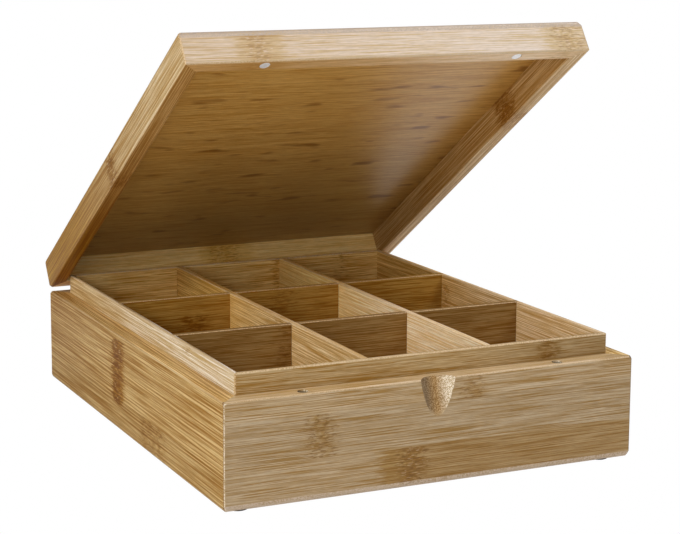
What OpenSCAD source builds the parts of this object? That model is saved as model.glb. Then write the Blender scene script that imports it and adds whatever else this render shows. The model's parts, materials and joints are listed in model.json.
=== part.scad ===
// Tea bag organizer box in laminated bamboo: nine compartments under one hinged lid.
// The origin is the centre of the base's footprint, on the plane that the feet stand on.
// The front of the box faces -Y, its right side +X, and the lid's hinges are at the back.

/* [Base] */
// Outer width of the base and the lid, left to right
box_width = 250; // [200:1:320]
// Outer depth of the base and the lid, front to back
box_depth = 305; // [240:1:380]
// Height of the base walls, without the feet
wall_height = 59; // [48:1:90]
// Thickness of the base walls, which is the width of the flat rim
wall_thick = 10.5; // [9:0.25:14]
// Rounding of the upright outer corners of base and lid
corner_round = 1.25; // [0.5:0.25:2]
// Rounding of the rim's outer edge
rim_round = 1.25; // [0.5:0.25:2]
// Rounding of the outer edge at the bottom
bottom_round = 3; // [1:0.25:4]
// Reach along the edges of the sanding at the rim's corners
rim_corner_reach = 4.5; // [2.5:0.25:6]
// Reach along the edges of the sanding at the corners of the underside and of the lid's top
outer_corner_reach = 6.5; // [3:0.25:8]
// Thickness of the floor panel
floor_thick = 4; // [3:0.5:6]
// Width of the rebate in the walls that the floor panel lies in
floor_rebate = 5.5; // [3:0.25:6]

/* [Liner and dividers] */
// Thickness of the liner boards inside the walls
liner_thick = 3; // [2.5:0.25:4]
// Height that the liner stands above the rim
liner_rise = 12; // [6:0.5:13]
// Rounding of the liner's top edges
liner_round = 1.2; // [0.4:0.1:1.2]
// Thickness of the dividers
divider_thick = 4; // [3:0.25:6]
// Rounding of the dividers' top edges
divider_round = 0.6; // [0.3:0.1:1.2]
// Depth of the grooves in the liner that hold the dividers' ends
groove_depth = 1.5; // [0.5:0.25:1.75]

/* [Thumb notch] */
// Height of the scoop on the front face, down from the rim
notch_height = 21; // [12:0.5:30]
// Depth of the scoop at the rim
notch_depth = 6.25; // [3:0.25:7.5]
// Radius of the cutter that made the scoop
notch_radius = 12.5; // [8:0.5:20]

/* [Lid] */
// Height of the lid's frame
lid_height = 20; // [18:0.5:30]
// Thickness of the lid's frame walls
lid_wall = 9.5; // [8.5:0.25:12]
// Rounding of the lid's top outer edge
lid_top_round = 2.75; // [1:0.25:3.5]
// Rounding of the lid's lower outer edge
lid_rim_round = 1.25; // [0.5:0.25:2]
// Rounding of the lid's lower inner edge
lid_inner_round = 0.75; // [0.25:0.25:1]
// Thickness of the top panel, which lies flush in the frame
panel_thick = 3; // [2.5:0.25:4]
// Width of the ledge under the panel's edge
panel_ledge = 5; // [3:0.25:5]

/* [Magnets] */
// Diameter of the closing magnets
magnet_diameter = 6; // [4:0.5:6.5]
// Thickness of the closing magnets
magnet_thick = 3; // [2:0.5:5]
// Distance of each magnet from the box's side
magnet_from_side = 47; // [20:1:70]
// Distance of each magnet from the box's front
magnet_from_front = 4.8; // [4.5:0.1:5]
// How far the base magnets lie below the rim
base_magnet_sink = 0.8; // [0.2:0.1:1.5]

/* [Hinges] */
// Distance of each hinge's middle from the box's side
hinge_from_side = 45; // [26:1:70]
// Length of a hinge along its pin
hinge_length = 30; // [24:1:40]
// Height of each leaf from the pin's axis to its far edge
leaf_height = 13; // [11:0.5:16]
// Thickness of the leaves
leaf_thick = 1.2; // [1:0.1:1.4]
// Distance of the pin's axis behind the box's back face
hinge_back = 3; // [2.8:0.1:4]
// Radius of the knuckles
knuckle_radius = 2.7; // [2.2:0.1:2.7]
// Radius of the hinge pin
pin_radius = 1.1; // [0.8:0.1:1.2]
// Length of the heels behind the lid's knuckles, which stop the lid
heel_length = 5.5; // [4.5:0.1:7]
// Angle from closed at which the heels meet the fixed leaves
lid_stop = 95; // [90:1:105]
// Length of the hinge screws under the leaves
screw_length = 7; // [5:0.5:8]
// Radius of the hinge screws' shanks
screw_radius = 1.25; // [1:0.05:1.4]

/* [Feet] */
// Diameter of the rubber feet
foot_diameter = 12; // [8:0.5:14]
// Height that the feet stand out
foot_height = 2.5; // [1.5:0.5:5]
// Distance of each foot's centre from the two nearest sides
foot_inset = 13; // [12.5:0.5:30]

/* [Pose] */
// Angle that the lid stands open, from closed
lid_open = 33.3; // [0:0.1:95]

/* [Hidden] */
$fn = 64;
// How far a cut runs past the surface that it opens
over = 1;
// Compartments from left to right and from front to back
columns = 3;
rows = 3;
// Gap between the lid and the rim when the lid is closed
lid_gap = 0.3;
// Gap round the floor panel and the lid's panel
panel_gap = 0.1;
// Gap on each side of a divider in its groove or its half-lap slot
slot_gap = 0.15;
// Radial gap round the magnets, the pins and the screws
fit_gap = 0.05;
// Gap between neighbouring knuckles, and between a knuckle and the other leaf
knuckle_gap = 0.3;
// Gap between a heel and the fixed leaf when the lid is fully open
heel_gap = 0.15;
knuckle_count = 5;
leaf_corner = 2;
foot_round = 0.8;
magnet_chamfer = 0.3;
pin_head_radius = 1.9;
pin_head_thick = 0.8;
screw_head_angle = 45;
screw_tip = 1.8;
cross_width = 0.7;
cross_length = 2.6;
cross_depth = 0.7;
wood_front = "#B79466";
wood_side = "#C79A5C";
wood_liner = "#A9824F";
wood_divider = "#B58A50";
wood_lid = "#D0B07E";
wood_panel = "#8F6F3F";
steel = "#C9C9C4";
brass = "#B8974F";
rubber = "#1C1C1C";

bottom_z = foot_height;
floor_top = bottom_z + floor_thick;
rim_z = bottom_z + wall_height;
liner_top = rim_z + liner_rise;
board_height = liner_top - floor_top;
bottom_r = min(bottom_round, wall_thick - floor_rebate - 0.5);
// Space inside the liner
inner_width = box_width - 2 * (wall_thick + liner_thick);
inner_depth = box_depth - 2 * (wall_thick + liner_thick);
cell_width = (inner_width - (columns - 1) * divider_thick) / columns;
cell_depth = (inner_depth - (rows - 1) * divider_thick) / rows;
hinge_y = box_depth / 2 + hinge_back;
hinge_z = rim_z + lid_gap / 2;
lid_rim_z = rim_z + lid_gap;
knuckle_clear = knuckle_radius + knuckle_gap;
screw_x = hinge_length / 4;
screw_z = (knuckle_clear + leaf_height) / 2;
screw_head_radius = screw_radius + leaf_thick * tan(screw_head_angle);

// Middle of divider number i of count - 1, measured from the middle of the row.
function divider_at(i, count, cell) = (i - count / 2) * (cell + divider_thick);

function side_length(side) = (side == "front" || side == "back") ? box_width : box_depth;

// Puts children drawn for the front, outer face on Y = 0, on one side of a box.
module on_side(side, inset = 0) {
    turn = side == "front" ? 0 : side == "right" ? 90 : side == "back" ? 180 : -90;
    reach = (side == "front" || side == "back") ? box_depth / 2 : box_width / 2;
    rotate(turn) translate([0, inset - reach, 0]) children();
}

// Waste outside a round of radius r: the corner is at the origin and the body in +X +Y.
module edge_cut(r) {
    difference() {
        translate([-over, -over]) square(r + over);
        translate([r, r]) circle(r);
    }
}

// Section of a board, from its outer face on X = 0 inwards, with four rounded edges.
// A radius of 0 leaves that edge sharp.
module board_section(thick, height, outer_low, inner_low, inner_top, outer_top) {
    difference() {
        square([thick, height]);
        if (outer_low > 0) edge_cut(outer_low);
        if (inner_low > 0) translate([thick, 0]) rotate(90) edge_cut(inner_low);
        if (inner_top > 0) translate([thick, height]) rotate(180) edge_cut(inner_top);
        if (outer_top > 0) translate([0, height]) rotate(-90) edge_cut(outer_top);
    }
}

// Board of a frame, along X, with both ends mitred inwards. Its section is the child.
module mitred_board(length, thick, height, end_round) {
    intersection() {
        translate([-length / 2, 0, 0]) rotate([90, 0, 90]) linear_extrude(length) children();
        translate([0, 0, -over]) linear_extrude(height + 2 * over) difference() {
            polygon([
                [-length / 2, 0], [length / 2, 0],
                [length / 2 - thick, thick], [thick - length / 2, thick]
            ]);
            translate([-length / 2, 0]) edge_cut(end_round);
            translate([length / 2, 0]) rotate(90) edge_cut(end_round);
        }
    }
}

// Waste at a board's ends, at its top (up = 1) or its underside (up = -1), on the height z. It
// lies outside a ball that touches the frame's three edges there at a distance of reach.
module corner_waste(length, z, up, reach, ends = [-1, 1]) {
    for (end = ends) translate([end * length / 2, 0, z])
        mirror([end > 0 ? 1 : 0, 0, 0]) mirror([0, 0, up > 0 ? 1 : 0]) difference() {
            translate([-over, -over, -over]) cube(reach + over);
            translate([reach, reach, reach]) sphere(r = reach * sqrt(2));
        }
}

// Two copies, left and right of the middle, at the given distance from it.
module left_and_right(x) {
    for (s = [-1, 1]) translate([s * x, 0, 0]) children();
}

// Moves children drawn on the closed lid to the angle that the lid stands open.
module lid_pose() {
    translate([0, hinge_y, hinge_z]) rotate([-lid_open, 0, 0]) translate([0, -hinge_y, -hinge_z])
        children();
}

// Walls and floor of the base

module base_wall(side) {
    length = side_length(side);
    on_side(side) translate([0, 0, bottom_z]) difference() {
        mitred_board(length, wall_thick, wall_height, corner_round) difference() {
            board_section(wall_thick, wall_height, bottom_r, 0, 0, rim_round);
            translate([wall_thick - floor_rebate, -over])
                square([floor_rebate + over, floor_thick + over]);
        }
        corner_waste(length, wall_height, 1, rim_corner_reach);
        corner_waste(length, 0, -1, outer_corner_reach);
    }
}

// Cutter that leaves a scoop, deepest at the rim and run out at the bottom.
module notch_cutter() {
    tilt = atan(notch_depth / notch_height);
    reach = norm([notch_depth, notch_height]) + notch_radius;
    translate([0, -box_depth / 2, rim_z - notch_height]) rotate([-tilt, 0, 0])
        translate([0, -notch_radius, -over]) cylinder(r = notch_radius, h = reach);
}

module magnet_place(side) {
    translate([side * (box_width / 2 - magnet_from_side), magnet_from_front - box_depth / 2, 0])
        children();
}

module base_front_wall() {
    color(wood_front) difference() {
        base_wall("front");
        notch_cutter();
        for (side = [-1, 1]) magnet_place(side)
            translate([0, 0, rim_z - base_magnet_sink - magnet_thick])
                cylinder(d = magnet_diameter + 2 * fit_gap, h = magnet_thick + base_magnet_sink + over);
    }
}

module base_back_wall() {
    color(wood_front) difference() {
        base_wall("back");
        for (side = [-1, 1]) hinge_place(side) screw_places(-1) pilot_hole();
    }
}

module base_left_wall() {
    color(wood_side) base_wall("left");
}

module base_right_wall() {
    color(wood_side) base_wall("right");
}

module base_floor() {
    width = box_width - 2 * (wall_thick - floor_rebate + panel_gap);
    depth = box_depth - 2 * (wall_thick - floor_rebate + panel_gap);
    color(wood_divider) translate([-width / 2, -depth / 2, bottom_z])
        cube([width, depth, floor_thick]);
}

// Liner and dividers

module liner_board(side) {
    across = side == "front" || side == "back";
    count = across ? columns : rows;
    cell = across ? cell_width : cell_depth;
    length = side_length(side) - 2 * wall_thick;
    color(wood_liner) on_side(side, wall_thick) translate([0, 0, floor_top]) difference() {
        mitred_board(length, liner_thick, board_height, liner_round)
            board_section(liner_thick, board_height, 0, 0, liner_round, liner_round);
        for (i = [1 : count - 1])
            translate([divider_at(i, count, cell) - divider_thick / 2 - slot_gap,
                       liner_thick - groove_depth, -over])
                cube([divider_thick + 2 * slot_gap, groove_depth + over, board_height + 2 * over]);
    }
}

module liner_front() {
    liner_board("front");
}

module liner_back() {
    liner_board("back");
}

module liner_left() {
    liner_board("left");
}

module liner_right() {
    liner_board("right");
}

// Divider along X, from groove to groove. Its slots reach half its height from one edge.
module divider(span, count, cell, slots_from_top) {
    length = span + 2 * (groove_depth - slot_gap);
    slot = divider_thick + 2 * slot_gap;
    slot_z = slots_from_top ? board_height / 2 : -over;
    color(wood_divider) difference() {
        translate([-length / 2, -divider_thick / 2, 0]) rotate([90, 0, 90]) linear_extrude(length)
            board_section(divider_thick, board_height, 0, 0, divider_round, divider_round);
        for (i = [1 : count - 1])
            translate([divider_at(i, count, cell) - slot / 2, -divider_thick / 2 - over, slot_z])
                cube([slot, divider_thick + 2 * over, board_height / 2 + over]);
    }
}

// The long dividers are slotted from below, so their top edges run on past the crossings.
module long_divider(i) {
    translate([divider_at(i, columns, cell_width), 0, floor_top]) rotate(90)
        divider(inner_depth, rows, cell_depth, false);
}

module cross_divider(i) {
    translate([0, divider_at(i, rows, cell_depth), floor_top])
        divider(inner_width, columns, cell_width, true);
}

module long_divider_left() {
    long_divider(1);
}

module long_divider_right() {
    long_divider(columns - 1);
}

module cross_divider_front() {
    cross_divider(1);
}

module cross_divider_rear() {
    cross_divider(rows - 1);
}

// Magnets and feet

module magnet() {
    r = magnet_diameter / 2;
    color(steel) rotate_extrude() polygon([
        [0, 0], [r - magnet_chamfer, 0], [r, magnet_chamfer],
        [r, magnet_thick - magnet_chamfer], [r - magnet_chamfer, magnet_thick], [0, magnet_thick]
    ]);
}

module base_magnet(side) {
    magnet_place(side) translate([0, 0, rim_z - base_magnet_sink - magnet_thick]) magnet();
}

module base_magnet_left() {
    base_magnet(-1);
}

module base_magnet_right() {
    base_magnet(1);
}

module foot(side_x, side_y) {
    x = box_width / 2 - foot_inset;
    y = box_depth / 2 - foot_inset;
    color(rubber) translate([side_x * x, side_y * y, 0]) rotate_extrude() difference() {
        square([foot_diameter / 2, foot_height]);
        translate([foot_diameter / 2, 0]) rotate(90) edge_cut(foot_round);
    }
}

module foot_front_left() {
    foot(-1, -1);
}

module foot_front_right() {
    foot(1, -1);
}

module foot_back_left() {
    foot(-1, 1);
}

module foot_back_right() {
    foot(1, 1);
}

// Hinges. A hinge is drawn with its axis along X at the origin, its two leaves lying against
// the box's back face on Y = -hinge_back, the fixed leaf below the axis and the lid's above.

module hinge_place(side) {
    translate([side * (box_width / 2 - hinge_from_side), hinge_y, hinge_z]) children();
}

// The two screw places of a leaf: up is -1 on the fixed leaf and 1 on the lid's leaf.
module screw_places(up) {
    left_and_right(screw_x)
        translate([0, leaf_thick - hinge_back, up * screw_z]) rotate([90, 0, 0]) children();
}

// Solid of a screw, its head flush on Z = 0 and its point in +Z, grown by a gap.
module screw_body(gap) {
    rotate_extrude() polygon([
        [0, 0], [screw_head_radius + gap, 0], [screw_radius + gap, leaf_thick],
        [screw_radius + gap, leaf_thick + screw_length - screw_tip],
        [gap, leaf_thick + screw_length + gap], [0, leaf_thick + screw_length + gap]
    ]);
}

module pilot_hole() {
    screw_body(fit_gap);
}

module screw() {
    color(brass) difference() {
        screw_body(0);
        for (turn = [0, 90]) rotate(turn)
            translate([-cross_length / 2, -cross_width / 2, -over])
                cube([cross_length, cross_width, cross_depth + over]);
    }
}

// Section of a knuckle across the pin: the barrel, the strap that joins it to its plate, and
// on the lid's side the heel. It is drawn with the box's back to the left and the lid closed.
module knuckle_section(up, heels) {
    heel_root = (pin_radius + knuckle_radius) / 2;
    difference() {
        union() {
            circle(knuckle_radius);
            translate([-hinge_back, up > 0 ? 0 : -knuckle_clear - over])
                square([leaf_thick, knuckle_clear + over]);
            if (heels) rotate(lid_stop)
                translate([leaf_thick + heel_gap - hinge_back, -heel_length])
                    square([leaf_thick, heel_length - heel_root]);
        }
        circle(pin_radius + fit_gap);
    }
}

// Leaf with every second knuckle from the first one given. The plate lies on the side up.
module hinge_leaf(up, first, heels) {
    pitch = hinge_length / knuckle_count;
    plate_height = leaf_height - knuckle_clear;
    color(brass) {
        difference() {
            translate([0, leaf_thick - hinge_back, up * leaf_height])
                rotate([90, 0, 0]) mirror([0, up > 0 ? 1 : 0, 0]) linear_extrude(leaf_thick)
                    difference() {
                        translate([-hinge_length / 2, 0]) square([hinge_length, plate_height]);
                        translate([-hinge_length / 2, 0]) edge_cut(leaf_corner);
                        translate([hinge_length / 2, 0]) rotate(90) edge_cut(leaf_corner);
                    }
            screw_places(up) translate([0, 0, -fit_gap]) screw_body(fit_gap);
        }
        for (i = [first : 2 : knuckle_count - 1])
            translate([i * pitch - hinge_length / 2 + knuckle_gap / 2, 0, 0]) rotate([90, 0, 90])
                linear_extrude(pitch - knuckle_gap) knuckle_section(up, heels);
    }
}

module base_hinge_leaf_left() {
    hinge_place(-1) hinge_leaf(-1, 0, false);
}

module base_hinge_leaf_right() {
    hinge_place(1) hinge_leaf(-1, 0, false);
}

module lid_hinge_leaf_left() {
    lid_pose() hinge_place(-1) hinge_leaf(1, 1, true);
}

module lid_hinge_leaf_right() {
    lid_pose() hinge_place(1) hinge_leaf(1, 1, true);
}

module hinge_pin(side) {
    color(steel) hinge_place(side) {
        translate([-hinge_length / 2, 0, 0]) rotate([0, 90, 0])
            cylinder(r = pin_radius, h = hinge_length);
        translate([-hinge_length / 2 - pin_head_thick, 0, 0]) rotate([0, 90, 0])
            cylinder(r = pin_head_radius, h = pin_head_thick + knuckle_gap / 2);
        translate([hinge_length / 2 - knuckle_gap / 2, 0, 0]) rotate([0, 90, 0])
            cylinder(r = pin_head_radius, h = pin_head_thick + knuckle_gap / 2);
    }
}

module hinge_pin_left() {
    hinge_pin(-1);
}

module hinge_pin_right() {
    hinge_pin(1);
}

module base_hinge_screws() {
    for (side = [-1, 1]) hinge_place(side) screw_places(-1) screw();
}

module lid_hinge_screws() {
    lid_pose() for (side = [-1, 1]) hinge_place(side) screw_places(1) screw();
}

// Lid

module lid_side(side) {
    length = side_length(side);
    back_ends = side == "back" ? [-1, 1] : side == "left" ? [-1] : side == "right" ? [1] : [];
    on_side(side) translate([0, 0, lid_rim_z]) difference() {
        mitred_board(length, lid_wall, lid_height, corner_round) difference() {
            board_section(lid_wall, lid_height, lid_rim_round, lid_inner_round, 0, lid_top_round);
            translate([lid_wall - panel_ledge, lid_height - panel_thick])
                square([panel_ledge + over, panel_thick + over]);
        }
        corner_waste(length, lid_height, 1, outer_corner_reach);
        corner_waste(length, 0, -1, rim_corner_reach, back_ends);
    }
}

module lid_front_wall() {
    color(wood_lid) lid_pose() difference() {
        lid_side("front");
        for (side = [-1, 1]) magnet_place(side) translate([0, 0, lid_rim_z - over])
            cylinder(d = magnet_diameter + 2 * fit_gap, h = magnet_thick + over);
    }
}

module lid_back_wall() {
    color(wood_lid) lid_pose() difference() {
        lid_side("back");
        for (side = [-1, 1]) hinge_place(side) screw_places(1) pilot_hole();
    }
}

module lid_left_wall() {
    color(wood_lid) lid_pose() lid_side("left");
}

module lid_right_wall() {
    color(wood_lid) lid_pose() lid_side("right");
}

module lid_top_panel() {
    width = box_width - 2 * (lid_wall - panel_ledge + panel_gap);
    depth = box_depth - 2 * (lid_wall - panel_ledge + panel_gap);
    color(wood_panel) lid_pose()
        translate([-width / 2, -depth / 2, lid_rim_z + lid_height - panel_thick])
            cube([width, depth, panel_thick]);
}

module lid_magnet(side) {
    lid_pose() magnet_place(side) translate([0, 0, lid_rim_z]) magnet();
}

module lid_magnet_left() {
    lid_magnet(-1);
}

module lid_magnet_right() {
    lid_magnet(1);
}

base_front_wall();
base_back_wall();
base_left_wall();
base_right_wall();
base_floor();
liner_front();
liner_back();
liner_left();
liner_right();
long_divider_left();
long_divider_right();
cross_divider_front();
cross_divider_rear();
base_magnet_left();
base_magnet_right();
foot_front_left();
foot_front_right();
foot_back_left();
foot_back_right();
base_hinge_leaf_left();
base_hinge_leaf_right();
hinge_pin_left();
hinge_pin_right();
base_hinge_screws();
lid_front_wall();
lid_back_wall();
lid_left_wall();
lid_right_wall();
lid_top_panel();
lid_magnet_left();
lid_magnet_right();
lid_hinge_leaf_left();
lid_hinge_leaf_right();
lid_hinge_screws();
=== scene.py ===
# %% [markdown]
# # A tea bag organizer box in laminated bamboo
# The real box is glued up from strips of split bamboo, sanded and given a satin lacquer. Its
# walls, lid frame, liner and dividers are already right in the CAD model, so this lesson keeps
# every one of those solids and spends its effort on the wood: fibres, strips, the dark knots
# where the cane had its joints, end grain and worn edges. Small fittings get metal and rubber.

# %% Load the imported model
import math
from types import SimpleNamespace

import bpy
import numpy as np
from mathutils import Matrix, Vector
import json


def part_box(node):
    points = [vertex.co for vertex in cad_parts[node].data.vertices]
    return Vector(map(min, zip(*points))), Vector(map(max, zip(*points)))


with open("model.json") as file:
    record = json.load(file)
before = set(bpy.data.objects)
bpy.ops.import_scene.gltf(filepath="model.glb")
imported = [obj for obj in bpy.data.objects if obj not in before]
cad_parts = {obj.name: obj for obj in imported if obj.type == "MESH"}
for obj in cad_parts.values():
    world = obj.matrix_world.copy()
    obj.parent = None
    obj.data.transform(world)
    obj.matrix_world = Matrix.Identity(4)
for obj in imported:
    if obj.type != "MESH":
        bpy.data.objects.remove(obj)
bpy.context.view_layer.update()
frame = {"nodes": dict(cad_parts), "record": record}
nodes = frame["nodes"]

# %% [markdown]
# ## Camera
# The photograph was taken from the left of the front, a little above the rim, with a lens of
# about twice the normal length. The object sits to one side of the lens's axis in the picture,
# so the sensor is shifted by a tenth of its width across and down. A camera that was turned
# towards the object instead would change the perspective.

# %% Place the camera
CAMERA_AT = (-0.4605, -0.9790, 0.3067)
CAMERA_AZIMUTH = math.radians(-23.694)
CAMERA_ELEVATION = math.radians(8.906)
SENSOR_SHIFT = 0.10

camera_data = bpy.data.cameras.new("camera")
camera_data.lens = 95.25
camera_data.sensor_width = 36
camera_data.shift_x = SENSOR_SHIFT
camera_data.shift_y = -SENSOR_SHIFT
camera = bpy.data.objects.new("camera", camera_data)
camera.location = CAMERA_AT
camera.rotation_euler = (math.pi / 2 - CAMERA_ELEVATION, 0, CAMERA_AZIMUTH)
bpy.context.scene.collection.objects.link(camera)
bpy.context.scene.camera = camera
print("camera at", [round(v, 3) for v in camera.location], "lens", camera_data.lens)

# %% [markdown]
# ## Studio
# A pale floor, a white surround and a few large soft boxes. Bamboo is a satin wood, so it needs
# wide lights: a small one would leave a hot spot and no sheen. The display transform is the
# plain one, so a colour that is given as sRGB hex shows as that colour in full light.


# %% One function for colours, one for nodes
def linear(hex_colour):
    """sRGB hex to linear: each channel over 255, then the 2.4 power law above a small toe."""
    srgb = np.array([int(hex_colour[i : i + 2], 16) for i in (1, 3, 5)]) / 255
    return (*np.where(srgb <= 0.04045, srgb / 12.92, ((srgb + 0.055) / 1.055) ** 2.4), 1.0)


def add(tree, kind, *inputs, named=None, **settings):
    """Adds one node, sets its settings, then fills its open inputs in order, or by name.

    A socket is linked, a hex colour is turned to linear, three factors in a colour's place get
    an alpha of 1, and a number is set. It gives the node's output, or all its outputs where
    there are more than one.
    """
    made = tree.nodes.new("ShaderNode" + kind)
    for name, setting in settings.items():
        setattr(made, name, setting)
    pairs = list(zip([socket for socket in made.inputs if socket.enabled], inputs))
    pairs += [(made.inputs[name], value) for name, value in (named or {}).items()]
    for socket, value in pairs:
        if isinstance(value, bpy.types.NodeSocket):
            tree.links.new(value, socket)
        elif isinstance(value, str):
            socket.default_value = linear(value)
        elif socket.type == "RGBA":
            socket.default_value = (*value, 1.0)[:4]
        else:
            socket.default_value = value
    usable = [socket for socket in made.outputs if socket.enabled]
    return usable[0] if len(usable) == 1 else made.outputs


# %% Surround and floor
scene = bpy.context.scene
scene.view_settings.view_transform = "Standard"
scene.view_settings.look = "None"

WHITE = (1.0, 1.0, 1.0)
SURROUND = 0.02
world = bpy.data.worlds.new("white_surround")
scene.world = world
world.use_nodes = True
world.node_tree.nodes.clear()
seen = add(world.node_tree, "LightPath")["Is Camera Ray"]
dim = add(world.node_tree, "Background", WHITE, SURROUND)
bright = add(world.node_tree, "Background", WHITE, 1.0)
both = add(world.node_tree, "MixShader", seen, dim, bright)
add(world.node_tree, "OutputWorld", both)

FLOOR_HALF = 6.0
floor_mesh = bpy.data.meshes.new("studio_floor")
corners = np.array([[-1, -1, 0], [1, -1, 0], [1, 1, 0], [-1, 1, 0]]) * FLOOR_HALF
floor_mesh.from_pydata(corners.tolist(), [], [(0, 1, 2, 3)])
floor = bpy.data.objects.new("studio_floor", floor_mesh)
scene.collection.objects.link(floor)

# White paper so evenly lit that the picture shows it as pure white, as a lit sweep does. It
# still throws its light back on the box. At the right of the box it also glows in reflections,
# where no lamp lights it, and the lacquer of the lid's panel shows that glow as a sheen.
BRIGHT_FROM, BRIGHT_TO = 0.10, 0.20
paper = bpy.data.materials.new("studio_paper")
paper.use_nodes = True
paper.node_tree.nodes.clear()
path = add(paper.node_tree, "LightPath")
right = add(paper.node_tree, "SeparateXYZ", add(paper.node_tree, "TexCoord")["Object"])["X"]
right = add(paper.node_tree, "MapRange", right, BRIGHT_FROM, BRIGHT_TO)
# A glow for reflected rays alone at the right of the box, which no lamp gives: a painted sheen.
sheen = add(paper.node_tree, "Math", path["Is Glossy Ray"], right, operation="MULTIPLY")
seen = add(paper.node_tree, "Math", path["Is Camera Ray"], sheen, operation="MAXIMUM")
sheet = add(paper.node_tree, "BsdfDiffuse", "#F6F5F2")
glow = add(paper.node_tree, "Emission", WHITE, 1.0)
add(paper.node_tree, "OutputMaterial", add(paper.node_tree, "MixShader", seen, sheet, glow))
floor_mesh.materials.append(paper)
print("floor", 2 * FLOOR_HALF, "m wide, surround", SURROUND)

# %% Soft boxes
# Each is a square panel: its bearing round the box from the front, its height above the
# horizon, both in degrees, its side in metres and its power in watts.
SOFT_BOXES = {
    "key_left": (-75, 30, 0.8, 16.2),
    "high_right": (42, 53, 0.8, 10.5),
    "high_back_right": (95, 55, 0.8, 9.4),
    "low_left": (-55, 12, 0.8, 6.9),
    "low_front": (-20, 12, 0.8, 3.3),
    "low_right": (95, 20, 0.8, 1.3),
}
SOFT_BOX_DISTANCE = 1.8
LIT_POINT = Vector((0, 0, 0.1))
for name, (bearing, height, side, watts) in SOFT_BOXES.items():
    panel = bpy.data.lights.new(name, "AREA")
    panel.shape = "SQUARE"
    panel.size = side
    panel.energy = watts
    lamp = bpy.data.objects.new(name, panel)
    around, up = math.radians(bearing), math.radians(height)
    flat = math.cos(up)
    towards = Vector((math.sin(around) * flat, -math.cos(around) * flat, math.sin(up)))
    lamp.location = LIT_POINT + towards * SOFT_BOX_DISTANCE
    lamp.rotation_euler = (-towards).to_track_quat("-Z", "Y").to_euler()
    scene.collection.objects.link(lamp)
print(len(SOFT_BOXES), "soft boxes")

# %% [markdown]
# ## Bamboo
# Split bamboo has no rings. Its surface shows straight fibres about half a millimetre apart,
# wider streaks of darker sap, strips about 20 mm wide that differ a little in tone, and at each
# joint of the cane a knot of short flecks that runs across one strip. It could be painted on
# each face, but a solid pattern, a function of the place in the board, runs on over every
# rounded edge without a seam.
#
# Each board has its grain along its own length, so the place is turned to the board's axes. The
# lid stands open, so its boards read their place after a turn back to the closed lid.

# %% Where a board's own axes lie
MM = 1000.0
hinge = frame["record"]["behaviour"]["joints"][0]
HINGE_AT = Vector(hinge["pos_m"])
LID_OPEN = math.radians(-hinge["range_deg"][0])
BASE_BOTTOM, RIM = (corner[2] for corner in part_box("base_front_wall"))
to_closed = (Matrix.Translation(HINGE_AT) @ Matrix.Rotation(LID_OPEN, 4, "X")
             @ Matrix.Translation(-HINGE_AT))
print("lid open", round(math.degrees(LID_OPEN), 1), "degrees, rim at", round(RIM * MM, 1), "mm")


def board_axes(tree, on_lid, grain):
    """Place in the board in mm and the way its surface faces: x along the grain, y across, z up.

    The object's coordinates and normal are turned back to the closed lid where the board is
    part of it, then turned about Z where the grain runs front to back. The place starts at the
    middle of the base's underside, or of the lid's, and is scaled to millimetres.
    """
    object_space = add(tree, "TexCoord")
    place, facing = object_space["Object"], object_space["Normal"]
    if on_lid:
        place = add(tree, "Mapping", place, to_closed.translation, (LID_OPEN, 0, 0))
        facing = add(tree, "Mapping", facing, (LID_OPEN, 0, 0), vector_type="NORMAL")
    turn = (0, 0, 0 if grain == "x" else -math.pi / 2)
    start = (0, 0, -MM * (RIM if on_lid else BASE_BOTTOM))
    place = add(tree, "Mapping", place, start, turn, (MM, MM, MM))
    return place, add(tree, "Mapping", facing, turn, vector_type="NORMAL")


# %% [markdown]
# ### Streaks and patches
# Two patterns make all the wood. Streaks are noise stretched along the grain. Patches are soft
# boxes on one strip, given by their middle and half size, and carry the knots and the places
# where the wood is browner.

# %% Two patterns
SMOOTH = {"interpolation_type": "SMOOTHSTEP"}
PAST_GLUE, SHORT_OF_GLUE = 0.4, 0.8  # mm over which a patch ends at the glue line of its strip


def streaks(tree, place, along, across, seed, detail=2.0):
    """Noise whose blobs are along mm long and across mm wide, near 0.5 on average."""
    start = (seed, seed * 0.7, -seed)
    sized = add(tree, "Mapping", place, start, (0, 0, 0), (1 / along, 1 / across, 1 / across))
    return add(tree, "TexNoise", sized, 1.0, detail, 0.6)["Fac"]


def patches(tree, place, rows, soft, ragged):
    """The largest of the rows' masks, each 1 in its box and 0 outside it.

    A row is the middle along the grain, the middle height, both half sizes and the strength.
    A mask falls over soft mm along the grain, and its ends are moved by the ragged noise.
    """
    mask = 0.0
    for along, height, half_length, half_height, strength in rows:
        apart = add(tree, "VectorMath", place, (along, 0, height), operation="SUBTRACT")
        parts = add(tree, "SeparateXYZ", add(tree, "VectorMath", apart, operation="ABSOLUTE"))
        reach = add(tree, "Math", parts["X"], ragged, operation="ADD")
        fade = (half_length, half_length - soft, 0.0, strength)
        ends = add(tree, "MapRange", reach, *fade, **SMOOTH)
        outside, inside = half_height + PAST_GLUE, half_height - SHORT_OF_GLUE
        band = add(tree, "MapRange", parts["Z"], outside, inside, **SMOOTH)
        box = add(tree, "Math", ends, band, operation="MULTIPLY")
        mask = add(tree, "Math", mask, box, operation="MAXIMUM")
    return mask


# %% [markdown]
# ### What sets one board apart
# The boards of the real box come from different canes, so each has its own tone, and its knots
# lie where the photograph shows them. One table of settings, with a usual value for each, lets
# a board name only what is its own.
#
# Not all of this is wood. Darker, top, under, flanks and the tones of the inner boards also hold
# light and shade of the photograph that this studio doesn't give by itself. It brings the
# picture close at a price: in another light this shade stays where it is painted.

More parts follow.
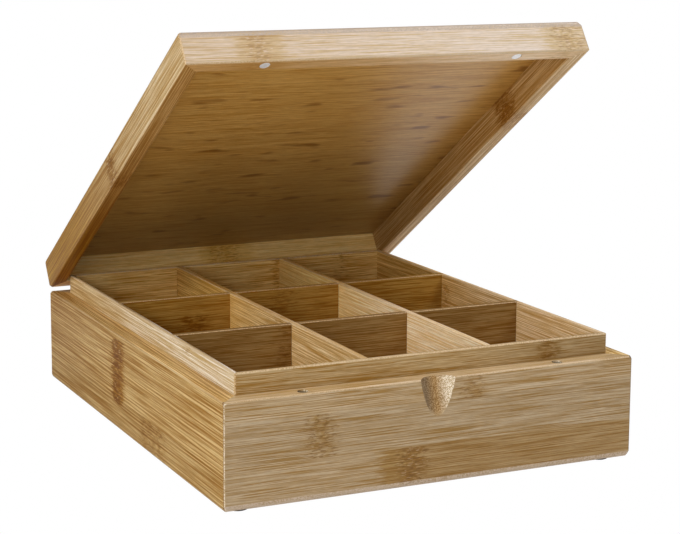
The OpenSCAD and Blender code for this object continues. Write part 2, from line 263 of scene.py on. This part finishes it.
# %% The settings of a board
SAME = (1.0, 1.0, 1.0)
BOARD = {
    "knots": (),  # rows for patches: the joints of the cane
    "brown": (),  # rows for patches: browner places
    "strip": 23.5,  # width of the glued strips in mm
    "strips_in": "Z",  # axis that the strips lie side by side along
    "fibre": (0.42, 32.0),  # width and length of the fibres in mm
    "bold": 1.0,  # power that the factors for pale fibres and sap are raised to
    "coarse": 0.4,  # strength of the wide streaks
    "crisp": 0.0,  # strength of the dark lines between the fibres
    "dashes": 0.0,  # strength of short dark dashes of sap
    "darker": None,  # painted shade: axis, where the board starts to darken, where that ends, factors there
    "top": SAME,  # factors for the faces that look up: a tone of their own and painted light
    "under": (SAME, SAME),  # factors for the ones that look down, at the start and further on: painted light and shade
    "edge": 1.0,  # how pale the long edges are: sanded wear and a painted highlight
    "flanks": (SAME, SAME, SAME),  # cut fibres that face back along the grain, across it, on: painted light and shade
    "scoop": None,  # half width of a notch at x = 0, and the place of the face it is cut in
    "dusty": None,  # heights that a band sanded through lies between, and its colour
    "lacquer": 0.3,  # how much of a full gloss the lacquer reflects
}

# Factors for a board's tone: pale fibres are greyer, sap browner, flecks darkest, and cut
# fibres drink in lacquer, so end grain is darker than a face. Sanding leaves pale wood dust.
PALE_FIBRE = (1.26, 1.40, 1.75)
SAP = (0.77, 0.63, 0.30)
FLECK = (0.46, 0.32, 0.13)
END_GRAIN = (0.78, 0.65, 0.42)
SANDED = "#D8BD97"
PALEST = 0.92  # no part of a colour is paler than this, as no wood is


def board(tree, grain, tone, seed, on_lid, own):
    """A board's settings, the place and facing that its patterns read, and its colours.

    A colour is the tone times its factor, to the power bold for fibres and sap, PALEST at most.
    """
    wood = SimpleNamespace(**{**BOARD, **own}, tree=tree, tone=tone, seed=seed)
    wood.place, wood.facing = board_axes(tree, on_lid, grain)
    wood.where = add(tree, "SeparateXYZ", wood.place)
    wood.way = add(tree, "SeparateXYZ", wood.facing)
    wood.slant = add(tree, "SeparateXYZ",
                     add(tree, "VectorMath", wood.facing, operation="ABSOLUTE"))
    powers = ((PALE_FIBRE, wood.bold), (SAP, wood.bold), (FLECK, 1.0), (END_GRAIN, 1.0))
    wood.pale, wood.sap, wood.fleck, wood.end_grain = (
        np.minimum(np.array(linear(tone)[:3]) * np.array(factor) ** power, PALEST)
        for factor, power in powers
    )
    wood.browner = np.array(SAP) ** wood.bold
    return wood


print(len(BOARD), "settings of a board")

# %% [markdown]
# ### Fibres and strips
# The grain is drawn as layers of noise over the tone. A layer fades in between two levels of
# its noise: as noise is near 0.5 on average, levels near 0.5 give a layer that covers half the
# board, and levels well over it give a few marks far apart. Fibres are half a millimetre wide
# on the real wood, which is about one pixel here, so they still show one by one.
#
# What the real wood has in layers is drawn in layers: pale fibres, the sap between bundles of
# them, thin dark gaps where a wall shows its strips on edge, and wide streaks of sap.

# %% The grain of a board
MIX = {"data_type": "RGBA"}
TINT = {"data_type": "RGBA", "blend_type": "MULTIPLY"}
PALE_LEVELS, GAP_LEVELS, LINE_LEVELS = (0.48, 0.58), (0.47, 0.41), (0.51, 0.59)
FULL = 0.95  # strength of a layer that hides nearly all of what is under it
LINES_LONGER, LINES_WIDER = 1.3, 1.5  # lines of sap against fibres
WIDE_STREAK, WIDE_LEVELS = (120.0, 3.6), (0.48, 0.70)  # length and width in mm
DASH, DASH_LEVELS = (26.0, 8.0), (0.61, 0.76)
MOTTLE, MOTTLE_BY = (5.0, 0.9), 0.40
STRIP_START, STRIP_BY = 0.77, 0.10  # value of the darkest strip, and how much others add to it


def grained(wood):
    """The tone, with pale fibres, lines of sap, wide streaks and dashes laid over it in turn."""
    tree, place, seed = wood.tree, wood.place, wood.seed
    wide, long = wood.fibre
    wood.fine = streaks(tree, place, long, wide, seed)
    wood.lines = streaks(tree, place, LINES_LONGER * long, LINES_WIDER * wide, seed + 3)
    layers = [
        (wood.fine, PALE_LEVELS, FULL, wood.pale),
        (wood.lines, LINE_LEVELS, FULL - 0.5 * wood.crisp, wood.sap),
        (wood.fine, GAP_LEVELS, wood.crisp, wood.sap),
        (streaks(tree, place, *WIDE_STREAK, seed + 7, 3.0), WIDE_LEVELS, wood.coarse, wood.sap),
    ]
    if wood.dashes:
        marks = streaks(tree, place, *DASH, seed + 13, 1.0)
        layers.append((marks, DASH_LEVELS, wood.dashes, wood.fleck))
    colour = wood.tone
    for noise, levels, strength, laid in layers:
        mask = add(tree, "MapRange", noise, *levels, 0.0, strength, **SMOOTH)
        colour = add(tree, "Mix", mask, colour, laid, **MIX)
    return colour


def in_strips(wood, colour):
    """Value times STRIP_START + STRIP_BY times a random number + MOTTLE_BY times a mottle.

    The random number is one for each strip, the mottle is noise with a mean of 0.5.
    """
    tree = wood.tree
    number = add(tree, "Math", wood.where[wood.strips_in], wood.strip, operation="DIVIDE")
    number = add(tree, "Math", number, operation="FLOOR")
    number = add(tree, "Math", number, wood.seed, operation="ADD")
    random = add(tree, "TexWhiteNoise", number, noise_dimensions="1D")["Value"]
    mottle = streaks(tree, wood.place, *MOTTLE, wood.seed + 11)
    value = add(tree, "Math", random, STRIP_BY, STRIP_START, operation="MULTIPLY_ADD")
    value = add(tree, "Math", mottle, MOTTLE_BY, value, operation="MULTIPLY_ADD")
    return add(tree, "HueSaturation", named={"Color": colour, "Value": value})


def darkened(wood, colour):
    """Painted shade: times the factors of darker, which come in smoothly along one axis of the
    board.
    """
    if not wood.darker:
        return colour
    axis, start, end, shade = wood.darker
    amount = add(wood.tree, "MapRange", wood.where[axis], start, end, **SMOOTH)
    return add(wood.tree, "Mix", amount, colour, shade, **TINT)


# %% [markdown]
# ### Knots
# At a joint of the cane the fibres turn and break, so a knot is a band across one strip, brown
# in clouds, with short dark flecks and pale gaps between them. Its ends are as ragged as the
# fibres. The brown is laid on as a tint, which leaves the fibres under it in view.

# %% Knots and browner places
RAGGED = 30.0  # mm between the furthest that a ragged end can lie out and in
RAGGED_SEED = 77.0
RAGGED_BLOB, CLOUD_BLOB, FLECK_BLOB = (9.0, 0.9), (9.0, 5.0), (4.2, 0.75)  # mm
BROWN_SOFT, KNOT_SOFT = 8.0, 7.0  # mm over which a browner place and a knot fade along the grain
CLOUD_LEVELS, CLOUD_STRENGTHS = (0.40, 0.60), (0.15, 0.95)
# Two levels of the noise, and how strong a fleck is at the first and at the second.
DARK_FLECKS, PALE_FLECKS = (0.50, 0.60, 0.0, 0.9), (0.43, 0.34, 0.0, 0.5)


def knotted(wood, colour):
    """Browner places, then knots: a cloud of brown, pale gaps and dark flecks in a band."""
    if not (wood.knots or wood.brown):
        return colour
    tree, place = wood.tree, wood.place
    ragged = streaks(tree, place, *RAGGED_BLOB, RAGGED_SEED, 3.0)
    ragged = add(tree, "Math", ragged, RAGGED, -RAGGED / 2, operation="MULTIPLY_ADD")
    if wood.brown:
        mask = patches(tree, place, wood.brown, BROWN_SOFT, ragged)
        colour = add(tree, "Mix", mask, colour, wood.browner, **TINT)
    if wood.knots:
        band = patches(tree, place, wood.knots, KNOT_SOFT, ragged)
        blobs = streaks(tree, place, *CLOUD_BLOB, wood.seed + 17)
        flecks = streaks(tree, place, *FLECK_BLOB, wood.seed + 5)
        cloud = add(tree, "MapRange", blobs, *CLOUD_LEVELS, *CLOUD_STRENGTHS)
        light = add(tree, "MapRange", flecks, *PALE_FLECKS, **SMOOTH)
        dark = add(tree, "MapRange", flecks, *DARK_FLECKS, **SMOOTH)
        for marks, laid, how in ((cloud, wood.browner, TINT), (light, wood.pale, MIX),
                                 (dark, wood.fleck, MIX)):
            mask = add(tree, "Math", marks, band, operation="MULTIPLY")
            colour = add(tree, "Mix", mask, colour, laid, **how)
    return colour


# %% [markdown]
# ### Sanded and highlit edges, end grain and dust
# A board's rim was cut through other fibres than its face, so it has a tone of its own, and the
# faces that look up and those that look down also get painted light and shade. Over a long edge
# the sanding left the wood pale, and that pale edge is also a painted highlight. Where it cut
# across the fibres, at the rounded corners and in the notch, their ends show as a stipple of
# dots, with painted light and shade by the way they face. The shape tells where that is: over a
# long edge the normal has a part across the grain and a part up, and where fibres are cut it has
# a part along them. The real dots are about a quarter of a millimetre across, too fine to show,
# so they are drawn 0.62 mm across, and the speckles of a sanded edge a little more.

# %% Faces, edges and cut ends
LEVEL_FACE = (0.75, 0.95)  # parts up of the normal where a face starts and ends to be level
UNDER_FROM, UNDER_TO = -90.0, 60.0  # mm along the board
SANDED_AND_HIGHLIT_LEVELS, CUT_LEVELS = (0.12, 0.42), (0.15, 0.5)
SPECKLE_BLOB, SPECKLE_LEVELS = (0.9, 0.8), (0.40, 0.60)
DOT_BLOB, DOT_LEVELS = (0.62, 0.62), (0.40, 0.62)
BETWEEN_SPECKLES, BETWEEN_DUST = 0.35, 0.45  # strength of sanding and dust between the speckles
FACING_BACK, FACING_ON = (-0.55, -0.1), (0.0, 0.45)  # parts of the normal along the grain
NOTCH_EDGE, DUST_EDGE = 0.5, 0.3  # mm that the notch's and the dust's edges fade on each side
BEHIND_FACE = (0.1, 0.6)  # mm behind the face where the notch's surface starts to count


def faced(wood, colour):
    """Times top on faces that look up, and times under on the ones that look down: tones of their
    own with painted light and shade.
    """
    tree = wood.tree
    wood.up = add(tree, "MapRange", wood.way["Z"], *LEVEL_FACE, **SMOOTH)
    colour = add(tree, "Mix", wood.up, colour, wood.top, **TINT)
    down = add(tree, "MapRange", wood.way["Z"], *(-part for part in LEVEL_FACE), **SMOOTH)
    along = add(tree, "MapRange", wood.where["X"], UNDER_FROM, UNDER_TO)
    below = add(tree, "Mix", along, *wood.under, **MIX)
    return add(tree, "Mix", down, colour, below, **TINT)


def sanded_and_highlit(wood, colour):
    """Long edges in pale speckles, sanded wear and a painted highlight: the mask is the normal's
    part across times its part up.
    """
    tree = wood.tree
    turned = add(tree, "Math", wood.slant["Z"], wood.slant["Y"], operation="MULTIPLY")
    sanded_and_highlit_mask = add(tree, "MapRange", turned, *SANDED_AND_HIGHLIT_LEVELS, **SMOOTH)
    blobs = streaks(tree, wood.place, *SPECKLE_BLOB, wood.seed + 9)
    wood.speckle = add(tree, "MapRange", blobs, *SPECKLE_LEVELS, **SMOOTH)
    weakest = BETWEEN_SPECKLES * wood.edge
    strength = add(tree, "MapRange", wood.speckle, 0.0, 1.0, weakest, wood.edge)
    mask = add(tree, "Math", sanded_and_highlit_mask, strength, operation="MULTIPLY")
    return add(tree, "Mix", mask, colour, SANDED, **MIX)


def scooped(wood):
    """1 on the notch's surface: near x = 0, behind the face that it is cut in, and not level."""
    tree = wood.tree
    half_width, face = wood.scoop
    off = add(tree, "Math", wood.where["X"], operation="ABSOLUTE")
    near = add(tree, "MapRange", off, half_width + NOTCH_EDGE, half_width - NOTCH_EDGE)
    behind = add(tree, "MapRange", wood.where["Y"], *(face + depth for depth in BEHIND_FACE))
    inside = add(tree, "Math", near, behind, operation="MULTIPLY")
    return add(tree, "Math", inside, wood.up, operation="SUBTRACT")


def end_grained(wood, colour):
    """A stipple of pale dots on end grain where fibres are cut, with painted light and shade by
    which way it faces.
    """
    tree = wood.tree
    cut = add(tree, "MapRange", wood.slant["X"], *CUT_LEVELS, **SMOOTH)
    if wood.scoop:
        cut = add(tree, "Math", cut, scooped(wood), operation="MAXIMUM")
    blobs = streaks(tree, wood.place, *DOT_BLOB, wood.seed + 15)
    dots = add(tree, "MapRange", blobs, *DOT_LEVELS, **SMOOTH)
    stipple = add(tree, "Mix", dots, wood.end_grain, SANDED, **MIX)
    back, across, on = wood.flanks
    past_back = add(tree, "MapRange", wood.way["X"], *FACING_BACK)
    past_across = add(tree, "MapRange", wood.way["X"], *FACING_ON)
    shade = add(tree, "Mix", past_back, back, across, **MIX)
    shade = add(tree, "Mix", past_across, shade, on, **MIX)
    stipple = add(tree, "Mix", 1.0, stipple, shade, **TINT)
    return add(tree, "Mix", cut, colour, stipple, **MIX)


def dusted(wood, colour):
    """A speckled band of dust between two heights: 1 less than half its width off its middle."""
    if not wood.dusty:
        return colour
    tree = wood.tree
    low, high, dust = wood.dusty
    middle, half = (low + high) / 2, (high - low) / 2
    off = add(tree, "Math", wood.where["Z"], middle, operation="SUBTRACT")
    off = add(tree, "Math", off, operation="ABSOLUTE")
    mask = add(tree, "MapRange", off, half + DUST_EDGE, half - DUST_EDGE, **SMOOTH)
    strength = add(tree, "MapRange", wood.speckle, 0.0, 1.0, BETWEEN_DUST, 1.0)
    mask = add(tree, "Math", mask, strength, operation="MULTIPLY")
    return add(tree, "Mix", mask, colour, dust, **MIX)


# %% [markdown]
# ### The finish
# Bamboo, sanded and given a satin lacquer. A satin lacquer shows as a wide soft sheen, so
# roughness stays near a third and changes a little from line to line, and the fibres can just
# be felt, as a weak bump of at most a fifth of a millimetre. The CAD solids stay as they are: a
# finish only goes into their material slot.

# %% Laminated bamboo, and how a solid is given it
ROUGH_START, ROUGH_BY_LINE = 0.28, 0.12
BUMP_STRENGTH, BUMP_DEPTH = 0.15, 0.0002
LAYERS = (in_strips, darkened, knotted, faced, sanded_and_highlit, end_grained, dusted)


def bamboo(name, grain, tone, seed, on_lid=False, **own):
    """Laminated bamboo with a satin lacquer: the grain, then every layer in turn over it."""
    made = bpy.data.materials.new(name)
    made.use_nodes = True
    tree = made.node_tree
    tree.nodes.clear()
    wood = board(tree, grain, tone, seed, on_lid, own)
    colour = grained(wood)
    for layer in LAYERS:
        colour = layer(wood, colour)
    rough = add(tree, "Math", wood.lines, ROUGH_BY_LINE, ROUGH_START, operation="MULTIPLY_ADD")
    bump = add(tree, "Bump", named={"Height": wood.fine, "Strength": BUMP_STRENGTH,
                                    "Distance": BUMP_DEPTH})
    surface = add(tree, "BsdfPrincipled",
                  named={"Base Color": colour, "Roughness": rough, "Normal": bump,
                         "Specular IOR Level": wood.lacquer})
    add(tree, "OutputMaterial", surface)
    return made


def dress(node, material):
    """The node's own solid stays; its one material slot takes the finish."""
    mesh = nodes[node].data
    mesh.materials.clear()
    mesh.materials.append(material)
    for face in mesh.polygons:
        face.material_index = 0


def factors(shown, tone, lit=SAME):
    """What turns a board's tone into the one shown, times lit: painted light that makes it look
    more or less lit.
    """
    return np.array(lit) * linear(shown)[:3] / linear(tone)[:3]


print(1 + len(LAYERS), "layers in the bamboo")

# %% [markdown]
# ## The base's walls
# The front and back walls show flat-sawn strips with soft, greyish fibres. The side walls show
# the strips on edge, so their lines are longer and much bolder, and as they are seen at a low
# angle their lacquer would mirror the floor: they get little gloss. From there their fibres are
# too fine to show, so they are drawn 0.68 mm wide. Knots and browner places are rows of the
# middle along the grain, the height, both half sizes and the strength.

# %% Dress the base's walls
FRONT_TONE, SIDE_TONE, RIM_TONE = "#AE926A", "#AF8A4F", "#C2A26D"
FRONT_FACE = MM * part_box("base_front_wall")[0][1]
NOTCH_HALF_WIDTH = 9.0
# The rims have a tone of their own; the last factors are painted light that makes them look more
# lit.
FRONT_AND_BACK = {"top": factors(RIM_TONE, FRONT_TONE, (1.0, 1.04, 1.28)),
                  "dusty": (0.0, 3.6, "#CBB7A2")}
SIDES = {"top": factors(RIM_TONE, SIDE_TONE, (1.2, 1.13, 0.93)), "strip": 20.0,
         "fibre": (0.68, 85.0), "bold": 1.7, "coarse": 0.1, "crisp": 0.9, "edge": 0.5,
         "lacquer": 0.04, "flanks": ((0.65, 0.65, 0.65),) * 3}
BASE_WALLS = {
    "front_wall": ("x", FRONT_TONE, 1.3, {
        **FRONT_AND_BACK, "fibre": (0.42, 40.0), "bold": 1.15, "coarse": 0.25, "edge": 0.75,
        "knots": ((-70.5, 35, 11, 12, 0.85), (-14.7, 11.5, 11, 11.5, 1.0), (21, 52, 9, 7, 0.75)),
        "brown": ((60, 11.5, 92, 11.5, 0.6), (-22, 13, 16, 10, 0.85)),
        "scoop": (NOTCH_HALF_WIDTH, FRONT_FACE),
        # The notch's flanks: painted light on the one that faces left, towards the key, and
        # painted shade on the one that faces right.
        "flanks": ((1.28, 1.52, 2.0), (0.86, 0.77, 0.62), (0.49, 0.48, 0.50))}),
    "back_wall": ("x", FRONT_TONE, 8.1, {
        **FRONT_AND_BACK, "knots": ((-40, 35, 11, 12, 1.0), (70, 11.5, 11, 11.5, 1.0))}),
    "left_wall": ("y", SIDE_TONE, 2.9, {
        **SIDES, "knots": ((16, 36, 11, 20, 1.0), (-45, 10, 24, 10, 0.6)),
        # Painted shade: the left wall is darker towards the back.
        "brown": ((15, 36, 14, 20, 1.0),), "darker": ("X", 0.0, 150.0, (0.88, 0.82, 0.75))}),
    "right_wall": ("y", SIDE_TONE, 5.2, {
        **SIDES, "knots": ((-60, 40, 10, 20, 1.0),), "brown": ((-50, 40, 12, 20, 0.4),)}),
}
for wall, (grain, tone, seed, own) in BASE_WALLS.items():
    dress("base_" + wall, bamboo("bamboo_" + wall, grain, tone, seed, **own))
print("base walls:", ", ".join(BASE_WALLS))

# %% [markdown]
# ## Liner, dividers and floor
# Thin boards, 3 and 4 mm thick, of the same bamboo. The ones that run front to back catch the
# light of the key, so their lines are bold. Deep in the box light comes back from wood alone and
# turns golden, and more so under the lid, so they are painted browner towards the back: painted
# shade.

# %% Dress the inner boards
INNER_X = {"bold": 1.15, "fibre": (0.48, 26.0), "coarse": 0.25, "lacquer": 0.15}
# The boards that run front to back are painted darker towards the back: painted shade.
INNER_Y = {"bold": 1.4, "fibre": (0.48, 50.0), "coarse": 0.08, "crisp": 0.6, "lacquer": 0.1,
           "darker": ("X", -50.0, 90.0, (1.0, 0.87, 0.5))}
# The tones differ partly as painted light and shade: the liner's back board and the right long
# divider are painted paler, the front cross divider darker. The liner's front board is painted
# darker towards its right end, its left board towards the back: painted shade.
INNER_BOARDS = {
    "liner_front": ("x", "#AF9060", 11.0, {
        "knots": ((76, 66, 8, 6, 1.0),), "brown": ((75, 66, 10, 6, 0.45),),
        "darker": ("X", 0.0, 110.0, (0.77, 0.75, 0.72))}),
    "liner_back": ("x", "#E0B46A", 12.7, {"knots": ((34, 62, 6, 12, 0.8), (83, 64, 5, 12, 0.8))}),
    "liner_left": ("y", "#CFBA96", 13.1, {
        "knots": ((-74, 68, 7, 3, 0.6),), "darker": ("X", -80.0, 120.0, (0.78, 0.64, 0.40))}),
    "liner_right": ("y", "#CDAD7C", 14.9, {"knots": ((40, 50, 8, 15, 0.8),)}),
    "long_divider_left": ("y", "#D1AD74", 21.0, {"knots": ((-32, 70, 8, 5, 0.6),)}),
    "long_divider_right": ("y", "#EACCA1", 22.3, {
        "knots": ((20, 40, 8, 9, 0.6),), "bold": 0.9}),
    "cross_divider_front": ("x", "#926E3B", 23.9, {"knots": ((-44, 55, 6, 15, 0.8),)}),
    "cross_divider_rear": ("x", "#A87C35", 24.4, {
        "knots": ((-64, 53, 11, 6, 1.0), (-3, 64, 12, 9, 0.5)),
        "brown": ((-64, 53, 13, 6, 0.5),)}),
    "base_floor": ("x", "#B98F56", 31.0, {}),
}
INNER_STRIP = 30.0
# Painted light on the top faces of the inner boards.
INNER_TOP = (1.15, 1.2, 1.35)
for node, (grain, tone, seed, own) in INNER_BOARDS.items():
    own = {**(INNER_X if grain == "x" else INNER_Y), "strip": INNER_STRIP, "top": INNER_TOP, **own}
    dress(node, bamboo("bamboo_" + node, grain, tone, seed, **own))
print(len(INNER_BOARDS), "inner boards")

# %% [markdown]
# ## The lid
# Its frame is four mitred boards, as the base's walls are. Its panel is a thin laminated sheet
# whose narrow strips lie side by side across it, with short dark dashes of sap. The underside
# looks down at the open box, so it gets its light from the wood below, and it is painted darker
# towards the hinges: painted shade. The front board's upper edge was sanded through after
# lacquering, which left it dusty.


# %% Dress the lid
def halo(rows, moved, longer, strength):
    """Browner wood round knots: each row moved along the grain, made longer and weaker."""
    return [(along + moved, height, half_length + longer, half_height, strength * own)
            for along, height, half_length, half_height, own in rows]


LID_TOP_TONE = "#D2AD76"
LID_STRIP = 30.0
# Under on the front and back boards: painted shade on the underside at the left end, painted light
# further right.
LID_X = {"strip": LID_STRIP, "fibre": (0.34, 26.0), "bold": 0.6, "coarse": 0.2,
         "under": ((0.92, 0.71, 0.39), (1.16, 1.06, 0.85))}
LID_Y = {"strip": LID_STRIP, "fibre": (0.48, 60.0), "bold": 1.4, "coarse": 0.2, "crisp": 0.7,
         "edge": 0.4, "lacquer": 0.1}
FRONT_KNOTS = ((-82, 9, 9, 9, 0.9), (112, 9, 13, 9, 0.8))
BACK_KNOTS = ((-1, 9, 14, 9, 0.8),)
LEFT_KNOTS = ((-10, 9, 11, 9, 1.0),)
RIGHT_KNOTS = ((-66, 9, 14, 9, 1.0),)
LID_BOARDS = {
    # The lid's front board is painted darker towards the left: painted shade.
    "lid_front_wall": ("x", "#DAC5AF", 41.0, {
        **LID_X, "knots": FRONT_KNOTS, "brown": halo(FRONT_KNOTS, 2, 9, 0.9), "top": SAME,
        "dusty": (16.2, 20.0, "#B8A492"), "darker": ("X", 120.0, -120.0, (0.86, 0.79, 0.67))}),
    # The back board's pale tone is painted light, as it stands in shade.
    "lid_back_wall": ("x", "#EDC781", 42.7, {
        **LID_X, "knots": BACK_KNOTS, "brown": halo(BACK_KNOTS, 2, 9, 0.9)}),
    # The lid's left board: painted shade, darker towards the back and on its underside.
    "lid_left_wall": ("y", "#B89A6B", 43.1, {
        **LID_Y, "knots": LEFT_KNOTS, "brown": halo(LEFT_KNOTS, 0, 0, 0.6), "edge": 0.15,
        "darker": ("X", -115.0, 110.0, (0.62, 0.42, 0.07)),
        "under": ((0.82, 0.64, 0.40), (0.82, 0.66, 0.43))}),
    # The lid's right board: painted shade towards the back, painted light on its underside.
    "lid_right_wall": ("y", "#BB9258", 44.9, {
        **LID_Y, "knots": RIGHT_KNOTS, "brown": halo(RIGHT_KNOTS, 0, 0, 0.6),
        "darker": ("X", -140.0, 130.0, (0.72, 0.68, 0.6)),
        "under": ((1.22, 1.42, 2.0), (1.40, 1.6, 1.95))}),
    # The panel: painted shade, darker towards the hinges.
    "lid_top_panel": ("x", "#C5964D", 51.0, {
        "strip": 19.0, "strips_in": "Y", "fibre": (0.38, 24.0), "bold": 0.85, "coarse": 0.45,
        "dashes": 0.9, "lacquer": 0.5, "darker": ("Y", -100.0, 130.0, (0.65, 0.68, 0.7))}),
}
for node, (grain, tone, seed, own) in LID_BOARDS.items():
    own = {"top": factors(LID_TOP_TONE, tone), **own}
    dress(node, bamboo("bamboo_" + node, grain, tone, seed, on_lid=True, **own))
print(len(LID_BOARDS), "boards of the lid")

# %% [markdown]
# ## Fittings
# The closing magnets are nickel plated, the hinges satin brass with steel pins, the feet rubber.
# Each has one colour, and a picture of the grit could be laid over it, but noise does the same
# from any side. Real grit is under a tenth of a millimetre, too fine to show, so it is drawn
# 0.6 mm across.


# %% Metal and rubber
GRIT = 0.6  # mm
GRIT_VALUE, GRIT_ROUGH = 0.25, 0.15
GRIT_STRENGTH, GRIT_DEPTH = 0.1, 0.0001


def plain(name, colour, rough, metallic=0.0):
    """A finish with one colour and a fine grit that breaks up its gloss.

    Its value is 1 and its roughness rough where the noise is 0.5, and they differ by up to half
    of GRIT_VALUE and GRIT_ROUGH where it is 0 or 1.
    """
    made = bpy.data.materials.new(name)
    made.use_nodes = True
    tree = made.node_tree
    tree.nodes.clear()
    noise = add(tree, "TexNoise", add(tree, "TexCoord")["Object"], MM / GRIT, 2.0)["Fac"]
    value = add(tree, "Math", noise, GRIT_VALUE, 1 - GRIT_VALUE / 2, operation="MULTIPLY_ADD")
    tone = add(tree, "HueSaturation", named={"Color": colour, "Value": value})
    shiny = add(tree, "Math", noise, GRIT_ROUGH, rough - GRIT_ROUGH / 2,
                operation="MULTIPLY_ADD")
    bump = add(tree, "Bump", named={"Height": noise, "Strength": GRIT_STRENGTH,
                                    "Distance": GRIT_DEPTH})
    surface = add(tree, "BsdfPrincipled",
                  named={"Base Color": tone, "Roughness": shiny, "Normal": bump,
                         "Metallic": metallic})
    add(tree, "OutputMaterial", surface)
    return made


# Nickel plating mirrors what is above it, softly and in a cool grey.
nickel = plain("nickel_plated_magnet", "#8E8C88", 0.35, 1.0)
# The lid's magnets face down into shade and still show bright in the photograph, so they get a
# copy of the nickel with painted light: paler and less metallic than that of the base's magnets.
painted_light_nickel = plain("painted_light_nickel_magnet", "#F4F4F6", 0.3, 0.2)
# Rolled brass with a satin finish has a warm and wide highlight.
brass = plain("satin_brass_hinge", "#C9A55C", 0.38, 1.0)
# A drawn steel pin is smoother, so its highlight is a thin bright line.
steel = plain("bright_steel_pin", "#C6C6C4", 0.28, 1.0)
# Moulded rubber is black and so rough that no highlight shows.
rubber = plain("matte_black_rubber", "#1B1B1B", 0.75)
FITTINGS = {"lid_magnet": painted_light_nickel, "base_magnet": nickel, "foot": rubber, "pin": steel,
            "hinge_leaf": brass, "hinge_screws": brass}
for node in nodes:
    for word, finish in FITTINGS.items():
        if word in node:
            dress(node, finish)
finishes = {nodes[node].active_material.name for node in nodes}
print(len(finishes), "finishes on", len(nodes), "nodes")

# %% [markdown]
# ## Size
# The looks don't change the size.

# %% Size
import json
